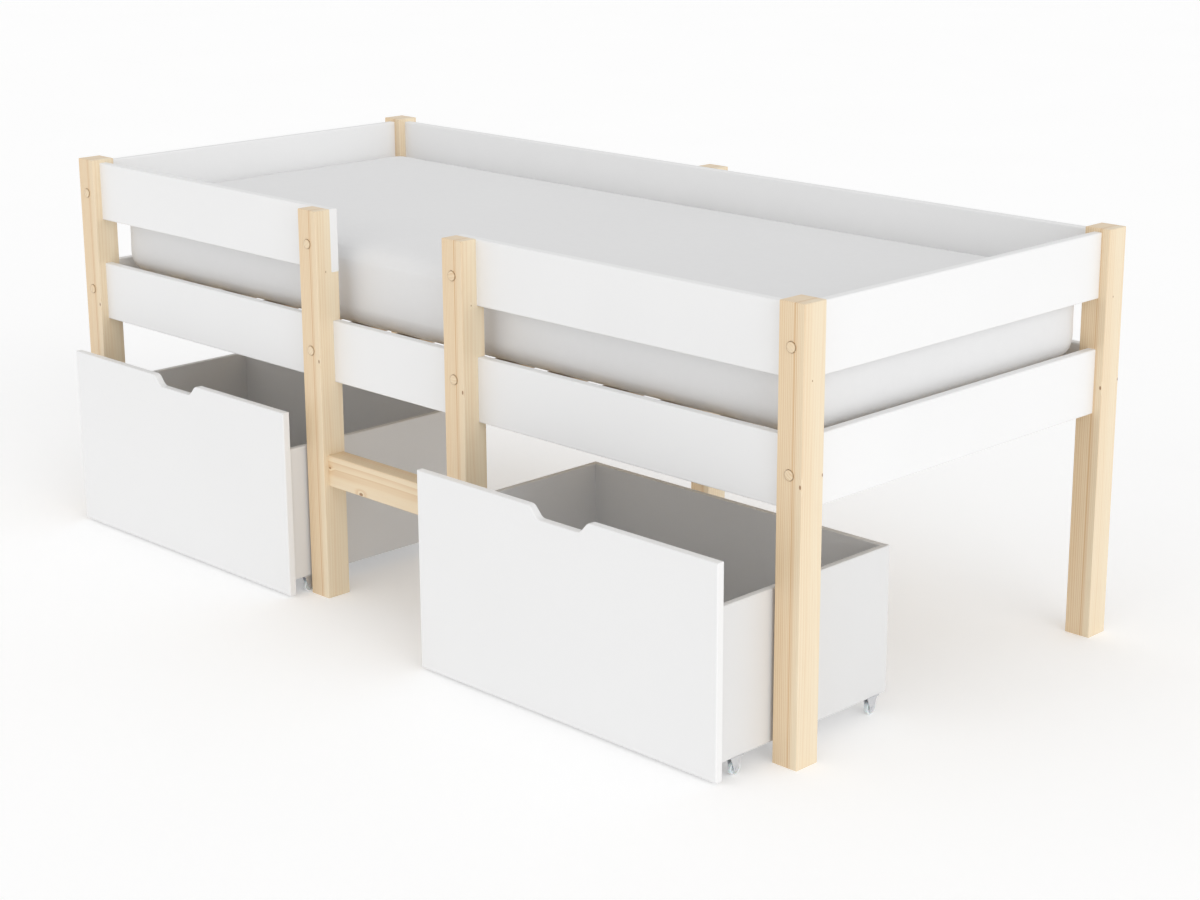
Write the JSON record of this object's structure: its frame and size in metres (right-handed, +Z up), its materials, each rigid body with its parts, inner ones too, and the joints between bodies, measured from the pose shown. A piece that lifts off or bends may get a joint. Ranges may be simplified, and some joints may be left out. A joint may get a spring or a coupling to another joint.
{
  "type": "storage bed",
  "caption": "Low child's cabin bed of square pine posts and white board rails, with a mattress on slats and castor drawers that roll out below.",
  "frame": {"origin": "on the floor, in the middle of the whole bed with its drawers drawn out as they stand at rest", "axes": "+X right along the bed, +Y to the back, +Z up"},
  "size_m": [2.08, 1.0786, 0.8],
  "materials": {
    "pine": "clear lacquered pine, straight grain, satin",
    "white_paint": "smooth white lacquer on board, satin",
    "mattress_fabric": "plain light fabric cover, matt",
    "slat_pine": "planed untreated pine, matt",
    "beech": "beech dowel, matt",
    "steel": "bright zinc-plated steel",
    "webbing": "woven polyester tape, matt",
    "wheel_plastic": "milky white moulded plastic, satin"
  },
  "bodies": {
    "bed_frame": {"barrel_nuts": "steel", "batten_screws": "steel", "cam_locks": "steel", "cam_pins": "steel", "cover_caps": "pine", "end_rail_left": "white_paint", "end_rail_right": "white_paint", "foot_stretcher": "pine", "frame_bolts": "steel", "guard_rail_back_left": "white_paint", "guard_rail_back_right": "white_paint", "guard_rail_front_left": "white_paint", "guard_rail_front_right": "white_paint", "guard_rail_left_end": "white_paint", "guard_rail_right_end": "white_paint", "mattress": "mattress_fabric", "post_back_left": "pine", "post_back_middle": "pine", "post_back_right": "pine", "post_front_left": "pine", "post_front_right": "pine", "post_middle_left": "pine", "post_middle_right": "pine", "rail_dowels": "beech", "side_rail_back": "white_paint", "side_rail_front": "white_paint", "slat_batten_back": "slat_pine", "slat_batten_front": "slat_pine", "slat_screws": "steel", "slat_straps": "webbing", "slats": "slat_pine", "threaded_inserts": "steel"},
    "drawer_left": {"drawer_left_back": "white_paint", "drawer_left_castor_axles": "steel", "drawer_left_castor_brackets": "steel", "drawer_left_castor_screws": "steel", "drawer_left_dowels": "beech", "drawer_left_floor": "white_paint", "drawer_left_front": "white_paint", "drawer_left_side_left": "white_paint", "drawer_left_side_right": "white_paint"},
    "drawer_right": {"drawer_right_back": "white_paint", "drawer_right_castor_axles": "steel", "drawer_right_castor_brackets": "steel", "drawer_right_castor_screws": "steel", "drawer_right_dowels": "beech", "drawer_right_floor": "white_paint", "drawer_right_front": "white_paint", "drawer_right_side_left": "white_paint", "drawer_right_side_right": "white_paint"},
    "drawer_left_wheel_back_left": {"drawer_left_wheel_back_left": "wheel_plastic"},
    "drawer_left_wheel_back_right": {"drawer_left_wheel_back_right": "wheel_plastic"},
    "drawer_left_wheel_front_left": {"drawer_left_wheel_front_left": "wheel_plastic"},
    "drawer_left_wheel_front_right": {"drawer_left_wheel_front_right": "wheel_plastic"},
    "drawer_right_wheel_back_left": {"drawer_right_wheel_back_left": "wheel_plastic"},
    "drawer_right_wheel_back_right": {"drawer_right_wheel_back_right": "wheel_plastic"},
    "drawer_right_wheel_front_left": {"drawer_right_wheel_front_left": "wheel_plastic"},
    "drawer_right_wheel_front_right": {"drawer_right_wheel_front_right": "wheel_plastic"}
  },
  "joints": [
    {"name": "drawer_left_slide", "type": "slide", "parent": "bed_frame", "child": "drawer_left", "axis": [0, -1, 0], "range_m": [-0.072, 0.328]},
    {"name": "drawer_left_wheel_front_left_spin", "type": "hinge", "parent": "drawer_left", "child": "drawer_left_wheel_front_left", "pos_m": [-0.972, -0.41625, 0.0125], "axis": [1, 0, 0], "continuous": true},
    {"name": "drawer_left_wheel_front_right_spin", "type": "hinge", "parent": "drawer_left", "child": "drawer_left_wheel_front_right", "pos_m": [-0.254, -0.41625, 0.0125], "axis": [1, 0, 0], "continuous": true},
    {"name": "drawer_left_wheel_back_left_spin", "type": "hinge", "parent": "drawer_left", "child": "drawer_left_wheel_back_left", "pos_m": [-0.972, -0.05625, 0.0125], "axis": [1, 0, 0], "continuous": true},
    {"name": "drawer_left_wheel_back_right_spin", "type": "hinge", "parent": "drawer_left", "child": "drawer_left_wheel_back_right", "pos_m": [-0.254, -0.05625, 0.0125], "axis": [1, 0, 0], "continuous": true},
    {"name": "drawer_right_slide", "type": "slide", "parent": "bed_frame", "child": "drawer_right", "axis": [0, -1, 0], "range_m": [-0.138, 0.262]},
    {"name": "drawer_right_wheel_front_left_spin", "type": "hinge", "parent": "drawer_right", "child": "drawer_right_wheel_front_left", "pos_m": [0.254, -0.48225, 0.0125], "axis": [1, 0, 0], "continuous": true},
    {"name": "drawer_right_wheel_front_right_spin", "type": "hinge", "parent": "drawer_right", "child": "drawer_right_wheel_front_right", "pos_m": [0.972, -0.48225, 0.0125], "axis": [1, 0, 0], "continuous": true},
    {"name": "drawer_right_wheel_back_left_spin", "type": "hinge", "parent": "drawer_right", "child": "drawer_right_wheel_back_left", "pos_m": [0.254, -0.12225, 0.0125], "axis": [1, 0, 0], "continuous": true},
    {"name": "drawer_right_wheel_back_right_spin", "type": "hinge", "parent": "drawer_right", "child": "drawer_right_wheel_back_right", "pos_m": [0.972, -0.12225, 0.0125], "axis": [1, 0, 0], "continuous": true}
  ],
  "couplings": [
    {"joint": "drawer_left_wheel_front_left_spin", "follows": "drawer_left_slide", "rad_per_m": 80},
    {"joint": "drawer_left_wheel_front_right_spin", "follows": "drawer_left_slide", "rad_per_m": 80},
    {"joint": "drawer_left_wheel_back_left_spin", "follows": "drawer_left_slide", "rad_per_m": 80},
    {"joint": "drawer_left_wheel_back_right_spin", "follows": "drawer_left_slide", "rad_per_m": 80},
    {"joint": "drawer_right_wheel_front_left_spin", "follows": "drawer_right_slide", "rad_per_m": 80},
    {"joint": "drawer_right_wheel_front_right_spin", "follows": "drawer_right_slide", "rad_per_m": 80},
    {"joint": "drawer_right_wheel_back_left_spin", "follows": "drawer_right_slide", "rad_per_m": 80},
    {"joint": "drawer_right_wheel_back_right_spin", "follows": "drawer_right_slide", "rad_per_m": 80}
  ]
}
